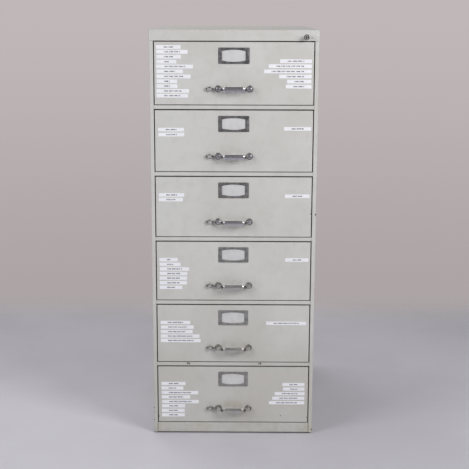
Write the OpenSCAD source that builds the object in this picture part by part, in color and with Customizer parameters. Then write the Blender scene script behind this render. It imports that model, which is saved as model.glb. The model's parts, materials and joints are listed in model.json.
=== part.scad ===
// Card index cabinet: a painted steel case with six equal drawers, each for two rows
// of 8 by 5 inch cards. +Z is up and the drawers face -Y. The origin is on the floor, in
// the middle of the footprint, pulls included. Lengths are in millimetres, angles in degrees.

/* [Case] */
// Width across the two side panels
case_w = 464; // [440:1:520]
// Depth from the face of the front rails to the rear flanges
case_d = 622; // [606:1:720]
// Sheet thickness of the case
case_sheet = 1; // [0.8:0.1:1.4]
// Outside bend radius of the case corners
case_bend_r = 2; // [1.6:0.1:3]
// Outside bend radius along the openings and rails
face_bend_r = 1.5; // [1.4:0.1:2]
// Width of the stile beside the openings
stile_w = 11; // [9:0.5:16]
// Depth to which a stile is folded inwards
stile_return = 16; // [8:1:20]
// Width of the rear flange that holds the back panel
rear_flange_w = 15; // [8:1:30]
// Visible height of a rail between two drawers
rail_h = 11; // [8:0.5:20]
// Depth of the rails and of the plinth's top flange
rail_d = 18; // [10:1:20]
// Height of the plinth below the lowest opening
plinth_h = 30.5; // [20:0.5:60]
// Height of the glide feet
foot_h = 3; // [2:0.5:12]
// Diameter of a glide foot
foot_d = 32; // [20:1:50]
// Distance of a glide foot's centre from the two nearest sides
foot_inset = 40; // [30:1:90]

/* [Top cap] */
// Height of the cap's front and side skirts
top_band_h = 29.5; // [29:0.5:50]
// Sheet thickness of the cap
cap_sheet = 1; // [0.8:0.1:1.4]

/* [Uprights and slides] */
// Width of an inner upright, front to back
upright_w = 30; // [20:1:50]
// Sheet thickness of the uprights
upright_sheet = 1.2; // [1:0.1:2]
// Room between the lock bar and the front uprights
upright_gap = 4; // [2:0.5:10]
// Room for the slides between an upright and the drawer tray
slide_space = 13; // [11:0.5:16]
// Height of the slide's outer channel
slide_h = 46; // [36:1:56]
// Sheet thickness of the slide channels
slide_sheet = 1.4; // [1:0.1:1.6]
// Height of the slide's middle above the opening's lower edge
slide_z = 60; // [45:1:85]
// Distance from the back of a drawer front to the slide's end
slide_setback = 4; // [2:1:12]
// Running clearance between sliding pieces
run_clear = 0.4; // [0.3:0.1:0.6]

/* [Drawers] */
// Height of one drawer opening
opening_h = 175; // [165:1:210]
// Gap beside a drawer front
gap_side = 2.25; // [1:0.25:3]
// Gap above a drawer front
gap_top = 2.75; // [1:0.25:3.5]
// Gap below a drawer front
gap_bottom = 1.5; // [1:0.25:3]
// Depth of the hollow drawer front
front_d = 18; // [14:1:24]
// Sheet thickness of the drawer front
front_sheet = 1; // [0.8:0.1:1.4]
// Bend radius along the drawer front's edges
front_bend_r = 1.5; // [1.4:0.1:2.5]
// Sheet thickness of the tray
tray_sheet = 1; // [0.8:0.1:1.4]
// Height of the tray's underside above the opening's lower edge
tray_lift = 12; // [6:1:20]
// Height of the tray's sides
tray_side_h = 118; // [100:1:135]
// Room between the tray's back and the back panel
tray_rear_room = 42; // [20:1:100]
// Height of the divider between the two rows
divider_h = 100; // [60:1:115]
// Width of the guide bar on the tray's floor
guide_w = 14; // [10:1:20]
// Height of the guide bar
guide_h = 3; // [2:0.5:5]
// Distance of a guide bar's ends from the tray's end walls
guide_end = 12; // [5:1:30]

/* [Card followers] */
// Room beside a follower plate in its row
follower_gap = 5.5; // [3:0.5:15]
// Height of the follower plate along its slope
follower_h = 105; // [70:1:112]
// Sheet thickness of the follower plate
follower_sheet = 1.6; // [1.2:0.1:2.5]
// Backward lean of the follower plate
follower_lean = 12; // [0:1:20]
// Distance of the follower behind the tray's front wall
follower_y = 320; // [250:1:380]
// Width of the follower's sliding foot
follower_foot_w = 44; // [30:1:70]
// Length of the follower's sliding foot
follower_foot_l = 52; // [35:1:80]
// Height of the follower's sliding foot
follower_foot_h = 11; // [8:1:16]

/* [Handle] */
// Distance between the centres of the two rosettes
handle_span = 87; // [84:1:110]
// Offset of the handle to the right of the drawer's middle
handle_x = 0.5; // [-5:0.5:5]
// Height of the rosettes above the opening's lower edge
handle_z = 45; // [35:1:60]
// Diameter of a rosette
rosette_d = 19.5; // [15:0.5:24]
// Thickness of a rosette
rosette_t = 3; // [2:0.5:5]
// Width of the rosette's sloping rim
rosette_rim = 2; // [1:0.5:3]
// Diameter of the post on a rosette
post_d = 11; // [9:0.5:14]
// Length of the post in front of the drawer
post_l = 13.5; // [12:0.5:18]
// Distance from the drawer to the outer face of the bow
bow_reach = 26; // [24:0.5:34]
// Distance from the drawer to the middle of the bow at the posts
bow_root = 8.5; // [7:0.5:10]
// Thickness of the bow
bow_t = 3; // [2:0.5:4]
// Height of the bow's grip
bow_h = 15; // [11:0.5:20]
// Distance of the grip's middle below the rosettes
bow_drop = 0.5; // [0:0.5:3]
// Height of the bow where it meets a post
bow_neck_h = 8; // [6:0.5:10]
// Length of the bow's low neck from a post's middle
bow_neck_l = 16; // [7:0.5:17]
// Distance from a post's middle to the full height of the grip
bow_taper_l = 19; // [18:0.5:26]
// Bend radius of the bow near a post, at its middle
bow_root_r = 7; // [5:0.5:7.5]
// Bend radius of the bow at the grip, at its middle
bow_crown_r = 14; // [8:0.5:15]
// Slope of the bow between its two bends
bow_slope = 66; // [50:1:75]
// Diameter of the stud that holds a rosette
stud_d = 5; // [4:0.5:6]
// Width across the corners of the stud's nut
nut_d = 9.5; // [8:0.5:12]
// Thickness of the stud's nut
nut_t = 3.2; // [2:0.1:5]
// Length of the stud beyond its nut
stud_tip = 1; // [0.5:0.5:2]

/* [Thumb latch] */
// Distance of the latch button from the left rosette's middle
latch_from_post = 24.3; // [20:0.1:30]
// Diameter of the latch button
latch_button_d = 13; // [10:0.5:15]
// Thickness of the latch button
latch_button_t = 4; // [3:0.5:6]
// Gap between the rosette's face and the back of the latch's neck
latch_stand = 1.5; // [0.5:0.5:6]
// Height of the neck between the button and the rosette
latch_neck_h = 5.5; // [4:0.5:8]
// Thickness of the neck
latch_neck_t = 3; // [2:0.5:4]
// Distance from the button's middle to the outer face of the thumb pad
latch_pad_reach = 9.5; // [8:0.5:14]
// Thickness of the thumb pad
latch_pad_t = 1.6; // [1:0.2:3]
// Height of the thumb pad
latch_pad_h = 9; // [7:0.5:14]
// Gap between the drawer and the back of the thumb pad
latch_pad_gap = 1.5; // [0.5:0.5:3]
// Room left for the latch to move sideways
latch_travel = 5; // [3:0.5:6]
// Width of the stem behind the button
latch_stem_w = 6; // [4:0.5:7]
// Height of the stem
latch_stem_h = 4.4; // [3:0.2:6]
// Height of the latch bar inside the drawer front
latch_bar_h = 12; // [8:1:20]
// Thickness of the latch bar
latch_bar_t = 3; // [2:0.5:4]
// Distance of the latch bar behind the drawer's face
latch_bar_y = 4; // [3:0.5:6]

/* [Label frame] */
// Width of the label frame
label_w = 86; // [76:1:110]
// Height of the label frame
label_h = 44; // [40:1:50]
// Thickness of the label frame
label_t = 2.4; // [2:0.2:4]
// Corner radius of the label frame
label_corner_r = 2; // [1:0.5:4]
// Offset of the label frame to the right of the drawer's middle
label_x = -0.5; // [-5:0.5:5]
// Height of the label frame's middle above the opening's lower edge
label_z = 135; // [115:0.5:140]
// Width of the window
window_w = 65; // [50:1:66]
// Height of the window at its middle
window_h = 33; // [26:1:36]
// Height of the window at its ends
window_end_h = 25; // [18:1:25]
// Depth of the card pocket behind the frame
pocket_d = 1; // [0.6:0.1:1.4]
// Room of the card pocket past the window on each side
pocket_margin = 2; // [1:0.5:3]
// Diameter of a rivet head
rivet_d = 4.2; // [3:0.2:5]
// Height of a rivet head
rivet_t = 0.9; // [0.5:0.1:1.5]
// Distance of a rivet from the frame's nearest end
rivet_inset_x = 7; // [3:0.5:8]
// Distance of a rivet from the frame's nearest long edge
rivet_inset_z = 11; // [4:0.5:14]

/* [Lock] */
// Distance of the lock's middle from the case's right side
lock_inset = 34; // [28:0.5:60]
// Room between the lock's flange and the fold at the cap's lower edge
lock_edge = 0.5; // [0.3:0.1:2]
// Diameter of the lock's flange
lock_flange_d = 17; // [16:0.5:18]
// Thickness of the lock's flange
lock_flange_t = 1.5; // [1:0.5:3]
// Diameter of the lock's fixed barrel
lock_barrel_d = 15; // [14.6:0.2:15.6]
// Length of the fixed barrel behind the cap's face
lock_barrel_l = 19; // [14:1:20]
// Diameter of the plunger
plunger_d = 12; // [11:0.2:12.4]
// Distance by which the plunger stands out of the cap's face
plunger_out = 18; // [10:0.5:20]
// Travel of the plunger
plunger_travel = 9; // [6:0.5:9]
// Diameter of the turning plug
plug_d = 8; // [7:0.2:8.4]
// Length of the turning plug
plug_l = 8; // [6:0.5:9]
// Width of the key slot
key_w = 1.5; // [1:0.1:2]
// Height of the key slot
key_h = 5; // [3:0.5:6]
// Depth of the key slot
key_d = 5; // [3:0.5:5.5]
// Thickness of the plunger's tail
tail_d = 6.4; // [5:0.2:7]
// Length of the wedge beyond the plunger's travel
wedge_seat = 3; // [2:0.5:3.5]
// Length of the wedge's tip behind the middle of the lock bar
wedge_past = 1; // [0:0.5:2]
// Thickness of the lock bar, sideways
bar_w = 6; // [4:0.5:6]
// Depth of the lock bar, front to back
bar_d = 8; // [6:0.5:10]
// Distance of the lock bar behind the front face
bar_y = 28; // [26:0.5:30]
// Height of the bar's arm
arm_h = 8; // [6:0.5:8.5]
// Distance of the arm's underside below the top of the plunger's tail
arm_sink = 4; // [3:0.5:5]
// Height of one locking tab on the bar
tab_h = 6; // [4:0.5:10]
// Distance of a locking tab below the top of its opening
tab_drop = 30; // [22:1:40]
// Room between a tab and the drawer front's path
tab_gap = 1.6; // [0.5:0.1:2]
// Height of the bar's lower end above the plinth
bar_foot = 10; // [5:1:40]

/* [Hidden] */
$fn = 48;
// Straight steps that make up one quarter bend
bend_steps = 5;
// Steps in each bend of the handle's bow
bow_steps = 6;
// Overrun that keeps a cut from ending on a face
cut = 1;
// Clearance between a fixed piece and its hole
fit_clear = 0.2;
// Depth to which welded pieces reach into each other
weld = 0.4;
// Inside radius of the tight bends in the uprights and slides
tight_bend_r = 0.2;
drawer_count = 6;

// The pulls stand out in front by bow_reach and the cap behind by its sheet
front_y = (bow_reach - cap_sheet - case_d) / 2;
back_y = front_y + case_d;
mid_y = front_y + case_d / 2;
opening_w = case_w - 2 * stile_w;
pitch = opening_h + rail_h;
plinth_top = foot_h + plinth_h;
band_z = plinth_top + drawer_count * pitch - rail_h;
case_h = band_z + top_band_h;
panel_top = case_h - cap_sheet - case_bend_r;
cap_bend_r = case_bend_r + cap_sheet;

front_w = opening_w - 2 * gap_side;
front_h = opening_h - gap_top - gap_bottom;

// The slides bolt to this plane, just behind the fold of the stile
mount_x = opening_w / 2 + case_sheet;
tray_w = 2 * (mount_x - slide_space);
tray_in_w = tray_w - 2 * tray_sheet;
tray_y = front_y + front_d;
tray_l = case_d - front_d - 2 * case_sheet - tray_rear_room;
tray_floor_y = tray_y + tray_sheet;
row_x = (tray_in_w + tray_sheet) / 4;
row_w = (tray_in_w - tray_sheet) / 2;

slide_y = tray_y + slide_setback;
slide_l = tray_l - slide_setback;
slide_bend_r = slide_sheet + tight_bend_r;
mid_web = slide_sheet + run_clear;
mid_h = slide_h - 2 * slide_sheet - 2 * run_clear;
inner_h = mid_h - 2 * slide_sheet - 2 * run_clear;
channel_d = slide_space - slide_sheet - run_clear;
mid_d = channel_d - mid_web;
inner_d = slide_space - 2 * (slide_sheet + run_clear);

upright_front_y = front_y + bar_y + bar_d + upright_gap;
upright_back_y = slide_y + slide_l - upright_w;
upright_depth = case_w / 2 - case_sheet - mount_x;

post_x = handle_span / 2;
bow_rise = bow_reach - bow_t / 2 - bow_root;
bow_bends = bow_root_r + bow_crown_r;
bow_straight = (bow_rise - bow_bends * (1 - cos(bow_slope))) / sin(bow_slope);
bow_run = bow_bends * sin(bow_slope) + bow_straight * cos(bow_slope);

latch_offset = post_x + latch_from_post;
latch_reach = rosette_t + latch_stand + latch_button_t;
latch_neck_end = post_x + post_d / 2 + latch_travel + run_clear;
latch_nose_x = front_w / 2 + handle_x;

window_rise = (window_h - window_end_h) / 2;
window_r = (pow(window_w / 2, 2) + pow(window_rise, 2)) / (2 * window_rise);

lock_x = case_w / 2 - lock_inset;
lock_z = band_z + cap_sheet + lock_edge + lock_flange_d / 2;
cap_face_y = front_y - cap_sheet;
bar_x = case_w / 2 - case_sheet - run_clear - bar_w;
tab_x = front_w / 2 + tab_gap;
// The wedge's slope is the line y + z = wedge_sum, from the front face and the lock's axis
wedge_l = plunger_travel + wedge_seat;
wedge_end = bar_y + bar_d / 2 + wedge_past;
wedge_sum = wedge_end - tail_d / 2;
arm_z = tail_d / 2 - arm_sink;
arm_sum = wedge_sum + run_clear * sqrt(2);

paint = [0.79, 0.78, 0.75];
inner_paint = [0.62, 0.61, 0.58];
bright_steel = [0.72, 0.72, 0.71];
worn_nickel = [0.55, 0.54, 0.53];
bronze = [0.42, 0.40, 0.38];

drawer_pieces = [
    "front", "tray", "handle", "latch", "label_frame",
    "left_follower", "right_follower", "mid_slides"
];

// Lower edge of opening n, counted from the top
function opening_z(n) = plinth_top + (drawer_count - n) * pitch;

// Points of a bend about c, from angle a to angle b
function bend(c, r, a, b) = [
    for (i = [0 : bend_steps])
        let (angle = a + (b - a) * i / bend_steps)
        c + r * [cos(angle), sin(angle)]
];

// Rectangle about the origin with four round corners
function plate_outline(w, h, r) = concat(
    bend([w / 2 - r, h / 2 - r], r, 0, 90),
    bend([r - w / 2, h / 2 - r], r, 90, 180),
    bend([r - w / 2, r - h / 2], r, 180, 270),
    bend([w / 2 - r, r - h / 2], r, 270, 360)
);

// Side view of a lid that stands on the base line, with its upper corners round
function lid_outline(w, h, r) = concat(
    [[-w / 2, 0], [w / 2, 0]],
    bend([w / 2 - r, h - r], r, 0, 90),
    bend([r - w / 2, h - r], r, 90, 180)
);

// Folded channel with its web on the second axis and both flanges towards positive x
function channel_outline(h, d, t, r) = concat(
    [[d, 0]],
    bend([r, r], r, 270, 180),
    bend([r, h - r], r, 180, 90),
    [[d, h], [d, h - t]],
    bend([r, h - r], r - t, 90, 180),
    bend([r, r], r - t, 180, 270),
    [[d, t]]
);

// Plan of the right side panel: stile fold, front bend, side, rear bend and rear flange
function side_outline() =
    let (
        x = case_w / 2,
        stile_x = opening_w / 2,
        stile_c = [stile_x + face_bend_r, front_y + face_bend_r],
        front_c = [x - case_bend_r, front_y + case_bend_r],
        back_c = [x - case_bend_r, back_y - case_bend_r],
        inner_r = case_bend_r - case_sheet
    )
    concat(
        [[stile_x, front_y + stile_return]],
        bend(stile_c, face_bend_r, 180, 270),
        bend(front_c, case_bend_r, 270, 360),
        bend(back_c, case_bend_r, 0, 90),
        [[x - rear_flange_w, back_y], [x - rear_flange_w, back_y - case_sheet]],
        bend(back_c, inner_r, 90, 0),
        bend(front_c, inner_r, 360, 270),
        bend(stile_c, face_bend_r - case_sheet, 270, 180),
        [[stile_x + case_sheet, front_y + stile_return]]
    );

// Half of the bow's middle line in plan, from the left post to the grip: x, y, heading
function bow_half() = concat(
    [
        for (i = [0 : bow_steps])
            let (a = bow_slope * i / bow_steps)
            [bow_root_r * sin(a) - post_x, -bow_root - bow_root_r * (1 - cos(a)), a]
    ],
    [
        for (i = [0 : bow_steps])
            let (a = bow_slope * (1 - i / bow_steps))
            [bow_run - post_x - bow_crown_r * sin(a), bow_t / 2 - bow_reach + bow_crown_r * (1 - cos(a)), a]
    ]
);

// Plan of the bow: the middle line, thickened to both sides
function bow_outline() =
    let (
        half = bow_half(),
        last = len(half) - 1,
        line = concat(half, [for (i = [last : -1 : 0]) [-half[i].x, half[i].y, -half[i].z]]),
        end = len(line) - 1,
        t = bow_t / 2
    )
    concat(
        [for (p = line) [p.x - t * sin(p.z), p.y - t * cos(p.z)]],
        [for (i = [end : -1 : 0]) [line[i].x + t * sin(line[i].z), line[i].y + t * cos(line[i].z)]]
    );

// Front view of the bow: low necks and a taller grip, a little below the posts
function bow_elevation() =
    let (
        neck = bow_neck_h / 2,
        top = bow_h / 2 - bow_drop,
        bottom = -bow_h / 2 - bow_drop,
        neck_x = post_x - bow_neck_l,
        grip_x = post_x - bow_taper_l
    )
    [
        [-post_x, neck], [-neck_x, neck], [-grip_x, top],
        [grip_x, top], [neck_x, neck], [post_x, neck],
        [post_x, -neck], [neck_x, -neck], [grip_x, bottom],
        [-grip_x, bottom], [-neck_x, -neck], [-post_x, -neck]
    ];

// Extrudes an outline of x and z along Y, from y to y + l
module along_y(y, l) {
    translate([0, y + l, 0])
        rotate([90, 0, 0])
            linear_extrude(l)
                children();
}

// Extrudes an outline of y and z along X, about the middle
module along_x(l) {
    rotate([90, 0, 90])
        linear_extrude(l, center = true)
            children();
}

// Cylinder whose axis runs along -Y from the face at y
module rod(d, y, l) {
    translate([0, y, 0])
        rotate([90, 0, 0])
            cylinder(h = l, d = d);
}

// Box with round vertical and upper edges, standing on its base
module rounded_lid(w, d, h, r) {
    intersection() {
        linear_extrude(h)
            polygon(plate_outline(w, d, r));
        along_y(-d, 2 * d)
            polygon(lid_outline(w, h, r));
        along_x(2 * w)
            polygon(lid_outline(d, h, r));
    }
}

// The same piece on the left and on the right
module both_sides() {
    children();
    mirror([1, 0, 0])
        children();
}

module side_panel() {
    translate([0, 0, foot_h])
        linear_extrude(panel_top - foot_h)
            polygon(side_outline());
}

module right_side_panel() {
    color(paint)
        side_panel();
}

module left_side_panel() {
    color(paint)
        mirror([1, 0, 0])
            side_panel();
}

module back_panel() {
    w = case_w - 2 * case_bend_r;
    color(paint)
        translate([-w / 2, back_y - 2 * case_sheet, foot_h])
            cube([w, case_sheet, panel_top - foot_h]);
}

// Sheet lid over the case, with a flange below its front skirt and a hole for the lock
module top_cap() {
    color(paint)
        difference() {
            union() {
                translate([0, mid_y, band_z])
                    difference() {
                        rounded_lid(case_w + 2 * cap_sheet, case_d + 2 * cap_sheet, top_band_h, cap_bend_r);
                        translate([0, 0, -cut])
                            rounded_lid(case_w, case_d, top_band_h - cap_sheet + cut, case_bend_r);
                    }
                translate([-opening_w / 2, front_y - weld, band_z])
                    cube([opening_w, rail_d + weld, cap_sheet]);
            }
            translate([lock_x, 0, lock_z])
                rod(lock_barrel_d + 2 * fit_clear, front_y + cut, cap_sheet + 2 * cut);
        }
}

// Floor sheet with the plinth folded up along its front, on four glide feet
module base_pan() {
    floor_w = case_w - 2 * case_sheet;
    fold_y = front_y + stile_return;
    color(paint) {
        translate([0, front_y, foot_h])
            along_x(opening_w)
                polygon(channel_outline(plinth_h, rail_d, case_sheet, face_bend_r));
        translate([-opening_w / 2, front_y + face_bend_r, foot_h])
            cube([opening_w, stile_return, case_sheet]);
        translate([-floor_w / 2, fold_y, foot_h])
            cube([floor_w, back_y - 2 * case_sheet - fold_y, case_sheet]);
    }
    color(bright_steel)
        for (x = [-1, 1], y = [-1, 1])
            translate([x * (case_w / 2 - foot_inset), mid_y + y * (case_d / 2 - foot_inset), 0])
                cylinder(h = foot_h + weld, d = foot_d);
}

module front_rails() {
    color(paint)
        for (n = [1 : drawer_count - 1])
            translate([0, front_y, opening_z(n) - rail_h])
                along_x(opening_w)
                    polygon(channel_outline(rail_h, rail_d, case_sheet, face_bend_r));
}

module uprights() {
    base_z = foot_h + case_sheet;
    bend_r = upright_sheet + tight_bend_r;
    color(inner_paint)
        both_sides()
            for (y = [upright_front_y, upright_back_y])
                translate([mount_x, y, base_z])
                    linear_extrude(panel_top - base_z)
                        polygon(channel_outline(upright_w, upright_depth, upright_sheet, bend_r));
}

// Slide channel of height h and depth d, with its web at x, opening towards the middle
module slide_channel(n, x, h, d) {
    translate([x, slide_y, opening_z(n) + slide_z - h / 2])
        mirror([1, 0, 0])
            along_y(0, slide_l)
                polygon(channel_outline(h, d, slide_sheet, slide_bend_r));
}

module cabinet_slides() {
    color(bright_steel)
        both_sides()
            for (n = [1 : drawer_count])
                slide_channel(n, mount_x, slide_h, channel_d);
}

module drawer_mid_slides(n) {
    color(bright_steel)
        both_sides()
            slide_channel(n, mount_x - mid_web, mid_h, mid_d);
}

// Hollow double-skinned front with holes for the handle's studs and slots for the latch
module drawer_front(n) {
    middle_z = opening_z(n) + gap_bottom + front_h / 2;
    skins = 2 * front_sheet;
    slot_w = latch_stem_w + latch_travel + 2 * run_clear;
    slot_h = latch_stem_h + 2 * run_clear;
    nose_d = latch_bar_t + 2 * run_clear;
    nose_h = latch_bar_h + 2 * run_clear;
    color(paint)
        difference() {
            translate([0, tray_y, middle_z])
                rotate([90, 0, 0])
                    rounded_lid(front_w, front_h, front_d, front_bend_r);
            translate([0, front_y + front_d / 2, middle_z])
                cube([front_w - skins, front_d - skins, front_h - skins], center = true);
            translate([handle_x, front_y, opening_z(n) + handle_z]) {
                for (x = [-post_x, post_x])
                    translate([x, 0, 0])
                        rod(stud_d + 2 * fit_clear, front_sheet + cut, front_sheet + 2 * cut);
                translate([-latch_offset - latch_stem_w / 2 - run_clear, -cut, -slot_h / 2])
                    cube([slot_w, front_sheet + 2 * cut, slot_h]);
                translate([-latch_nose_x - cut, latch_bar_y - run_clear, -nose_h / 2])
                    cube([front_sheet + 2 * cut, nose_d, nose_h]);
            }
        }
}

// Folded tray with its divider, two guide bars and the inner members of the slides
module drawer_tray(n) {
    z = opening_z(n) + tray_lift;
    guide_y = tray_floor_y + guide_end;
    guide_l = tray_l - 2 * (tray_sheet + guide_end);
    color(inner_paint) {
        translate([0, tray_y, z])
            difference() {
                translate([-tray_w / 2, 0, 0])
                    cube([tray_w, tray_l, tray_side_h]);
                translate([-tray_in_w / 2, tray_sheet, tray_sheet])
                    cube([tray_in_w, tray_l - 2 * tray_sheet, tray_side_h]);
            }
        translate([-tray_sheet / 2, tray_y, z])
            cube([tray_sheet, tray_l, divider_h]);
        both_sides()
            translate([row_x - guide_w / 2, guide_y, z + tray_sheet - weld])
                cube([guide_w, guide_l, guide_h + weld]);
    }
    color(bright_steel)
        both_sides()
            mirror([1, 0, 0])
                slide_channel(n, weld - tray_w / 2, inner_h, inner_d + weld);
}

// Cast bow pull: two rosettes with posts, the bow between them, and two studs with nuts
module drawer_handle(n) {
    color(worn_nickel)
        translate([handle_x, front_y, opening_z(n) + handle_z]) {
            for (x = [-post_x, post_x])
                translate([x, 0, 0]) {
                    rotate([90, 0, 0])
                        cylinder(h = rosette_t, d1 = rosette_d, d2 = rosette_d - 2 * rosette_rim);
                    rod(post_d, 0, post_l);
                    rod(stud_d, front_sheet + nut_t + stud_tip, front_sheet + nut_t + stud_tip);
                    translate([0, front_sheet + nut_t, 0])
                        rotate([90, 0, 0])
                            cylinder(h = nut_t, d = nut_d, $fn = 6);
                }
            intersection() {
                translate([0, 0, -bow_h])
                    linear_extrude(2 * bow_h)
                        polygon(bow_outline());
                along_y(-2 * bow_reach, 2 * bow_reach)
                    polygon(bow_elevation());
            }
        }
}

// Thumb latch: pad, button, neck and stem in front, and the bar that runs to the left stile
module drawer_latch(n) {
    stem_y = latch_button_t - latch_reach;
    stem_l = latch_bar_y + latch_bar_t - stem_y;
    color(worn_nickel)
        translate([handle_x, front_y, opening_z(n) + handle_z]) {
            translate([-latch_offset, 0, 0]) {
                rod(latch_button_d, stem_y, latch_button_t);
                translate([-latch_stem_w / 2, stem_y - weld, -latch_stem_h / 2])
                    cube([latch_stem_w, stem_l + weld, latch_stem_h]);
                translate([-latch_pad_reach, stem_y - latch_neck_t, -latch_neck_h / 2])
                    cube([latch_pad_reach + latch_offset - latch_neck_end, latch_neck_t, latch_neck_h]);
                translate([-latch_pad_reach, -latch_reach, -latch_pad_h / 2])
                    cube([latch_pad_t, latch_reach - latch_pad_gap, latch_pad_h]);
            }
            translate([-latch_nose_x, latch_bar_y, -latch_bar_h / 2])
                cube([latch_nose_x - latch_offset + latch_stem_w / 2, latch_bar_t, latch_bar_h]);
        }
}

// Plate over a card pocket, with a window whose long edges bow outwards, and four rivets
module drawer_label_frame(n) {
    pocket_w = window_w + 2 * pocket_margin;
    pocket_h = window_h + 2 * pocket_margin;
    color(bronze)
        translate([label_x, front_y, opening_z(n) + label_z]) {
            difference() {
                along_y(-label_t, label_t)
                    polygon(plate_outline(label_w, label_h, label_corner_r));
                intersection() {
                    cube([window_w, 3 * label_t, window_h + 2 * cut], center = true);
                    window_discs();
                }
                translate([-pocket_w / 2, -pocket_d, -pocket_h / 2])
                    cube([pocket_w, pocket_d + cut, pocket_h]);
            }
            for (x = [-1, 1], z = [-1, 1])
                translate([x * (label_w / 2 - rivet_inset_x), 0, z * (label_h / 2 - rivet_inset_z)])
                    rod(rivet_d, weld - label_t, rivet_t + weld);
        }
}

// The two round discs whose overlap gives the window its bowed long edges
module window_discs() {
    intersection_for(s = [-1, 1])
        translate([0, 0, s * (window_r - window_h / 2)])
            rod(2 * window_r, 2 * label_t, 4 * label_t);
}

// Leaning plate on a foot that straddles the guide bar of its row
module follower(n) {
    floor_z = opening_z(n) + tray_lift + tray_sheet;
    plate_w = row_w - 2 * follower_gap;
    color(bright_steel)
        translate([row_x, tray_floor_y + follower_y, floor_z]) {
            difference() {
                translate([-follower_foot_w / 2, 0, run_clear])
                    cube([follower_foot_w, follower_foot_l, follower_foot_h]);
                translate([-guide_w / 2 - run_clear, -cut, 0])
                    cube([guide_w + 2 * run_clear, follower_foot_l + 2 * cut, guide_h + run_clear]);
            }
            translate([-plate_w / 2, 0, guide_h + 2 * run_clear])
                rotate([-follower_lean, 0, 0])
                    cube([plate_w, follower_sheet, follower_h]);
        }
}

module drawer_right_follower(n) {
    follower(n);
}

module drawer_left_follower(n) {
    mirror([1, 0, 0])
        follower(n);
}

// Flange and barrel of the push lock, with the nut behind the cap's skirt
module lock_body() {
    barrel_end = cap_face_y + lock_barrel_l;
    bore_l = lock_barrel_l + lock_flange_t + 2 * cut;
    color(worn_nickel)
        translate([lock_x, 0, lock_z])
            difference() {
                union() {
                    rod(lock_flange_d, cap_face_y, lock_flange_t);
                    rod(lock_barrel_d, barrel_end, lock_barrel_l + weld);
                    rod(lock_flange_d, front_y + nut_t, nut_t);
                }
                rod(plunger_d + 2 * run_clear, barrel_end + cut, bore_l);
            }
}

// Plunger with a tail whose wedge lifts the lock bar as the plunger is pushed in
module lock_plunger() {
    barrel_end = cap_face_y + lock_barrel_l;
    plug_room = plug_l + run_clear;
    wedge_y = front_y + wedge_end;
    color(bright_steel)
        translate([lock_x, 0, lock_z]) {
            difference() {
                rod(plunger_d, barrel_end, lock_barrel_l + plunger_out);
                rod(plug_d + 2 * run_clear, cap_face_y - plunger_out + plug_room, plug_room + cut);
            }
            rod(tail_d, wedge_y - wedge_l + cut, wedge_y - wedge_l + cut - barrel_end + weld);
            translate([0, wedge_y - wedge_l, -tail_d / 2])
                along_x(tail_d)
                    polygon([[0, 0], [wedge_l, 0], [0, wedge_l]]);
        }
}

module lock_plug() {
    plug_y = cap_face_y - plunger_out;
    color(bright_steel)
        translate([lock_x, 0, lock_z])
            difference() {
                rod(plug_d, plug_y + plug_l, plug_l);
                translate([-key_w / 2, plug_y - cut, -key_h / 2])
                    cube([key_w, key_d + cut, key_h]);
            }
}

// Bar down the right side with one tab for each drawer, and an arm over the wedge
module lock_bar() {
    bottom_z = plinth_top + bar_foot;
    top_z = lock_z + arm_z + arm_h;
    arm_top = arm_z + arm_h;
    color(inner_paint) {
        translate([bar_x, front_y + bar_y, bottom_z])
            cube([bar_w, bar_d, top_z - bottom_z]);
        translate([(lock_x - tail_d / 2 + bar_x + bar_w) / 2, front_y, lock_z])
            along_x(bar_x + bar_w - lock_x + tail_d / 2)
                polygon([
                    [bar_y, arm_top],
                    [bar_y, arm_sum - bar_y],
                    [arm_sum - arm_z, arm_z],
                    [bar_y + bar_d, arm_z],
                    [bar_y + bar_d, arm_top]
                ]);
        for (n = [1 : drawer_count])
            translate([tab_x, front_y + bar_y, opening_z(n) + opening_h - tab_drop])
                cube([bar_x - tab_x + weld, bar_d, tab_h]);
    }
}

left_side_panel();
right_side_panel();
back_panel();
top_cap();
base_pan();
front_rails();
uprights();
cabinet_slides();
lock_body();
lock_plunger();
lock_plug();
lock_bar();
for (n = [1 : drawer_count]) {
    drawer_front(n);
    drawer_tray(n);
    drawer_handle(n);
    drawer_latch(n);
    drawer_label_frame(n);
    drawer_left_follower(n);
    drawer_right_follower(n);
    drawer_mid_slides(n);
}
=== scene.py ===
"""Looks of a card index cabinet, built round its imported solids. Lengths are in metres."""
import json
import math
import random

import bmesh
import bpy
from mathutils import Matrix, Vector

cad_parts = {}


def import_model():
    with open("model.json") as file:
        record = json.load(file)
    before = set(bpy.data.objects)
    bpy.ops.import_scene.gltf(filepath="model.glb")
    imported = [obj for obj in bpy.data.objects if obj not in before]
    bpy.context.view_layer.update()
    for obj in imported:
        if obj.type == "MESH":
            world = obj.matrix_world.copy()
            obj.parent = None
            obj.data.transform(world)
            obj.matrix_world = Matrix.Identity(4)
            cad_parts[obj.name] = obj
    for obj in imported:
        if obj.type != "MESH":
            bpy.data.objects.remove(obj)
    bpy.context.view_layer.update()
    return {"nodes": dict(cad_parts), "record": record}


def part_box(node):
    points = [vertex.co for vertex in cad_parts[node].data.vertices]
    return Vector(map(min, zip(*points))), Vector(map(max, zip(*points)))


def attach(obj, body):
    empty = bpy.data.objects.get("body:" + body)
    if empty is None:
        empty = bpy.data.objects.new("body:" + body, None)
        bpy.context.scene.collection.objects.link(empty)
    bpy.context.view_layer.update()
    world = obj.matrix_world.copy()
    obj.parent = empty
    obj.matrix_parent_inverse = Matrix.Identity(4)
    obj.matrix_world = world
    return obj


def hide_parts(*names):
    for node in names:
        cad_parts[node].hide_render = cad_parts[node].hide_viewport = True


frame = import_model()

MM = 0.001
DRAWERS = range(1, 7)

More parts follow.
